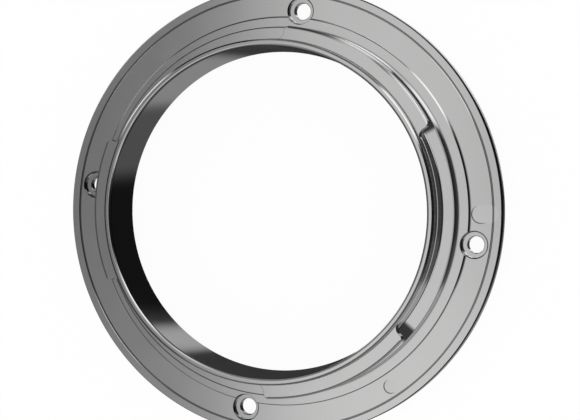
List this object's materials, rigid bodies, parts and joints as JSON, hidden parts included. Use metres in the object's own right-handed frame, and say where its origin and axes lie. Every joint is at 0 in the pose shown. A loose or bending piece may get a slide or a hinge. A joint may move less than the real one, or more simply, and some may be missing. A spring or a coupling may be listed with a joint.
{
  "type": "bayonet lens mount ring",
  "caption": "Turned metal flange ring whose collar carries bayonet lugs that twist-lock a lens into a camera body; counterbored screw holes fix it to the lens barrel.",
  "frame": {"origin": "centre of the flange's back face, on the ring's axis", "axes": "+Z along the ring's axis, from the back face towards the bayonet lugs; +X right and +Y up in the picture"},
  "size_m": [0.0608, 0.0608, 0.0089],
  "materials": {
    "plated_ring": "satin chrome plate over turned metal, with fine concentric tool marks"
  },
  "bodies": {
    "root": {"mount_ring": "plated_ring"}
  },
  "joints": []
}
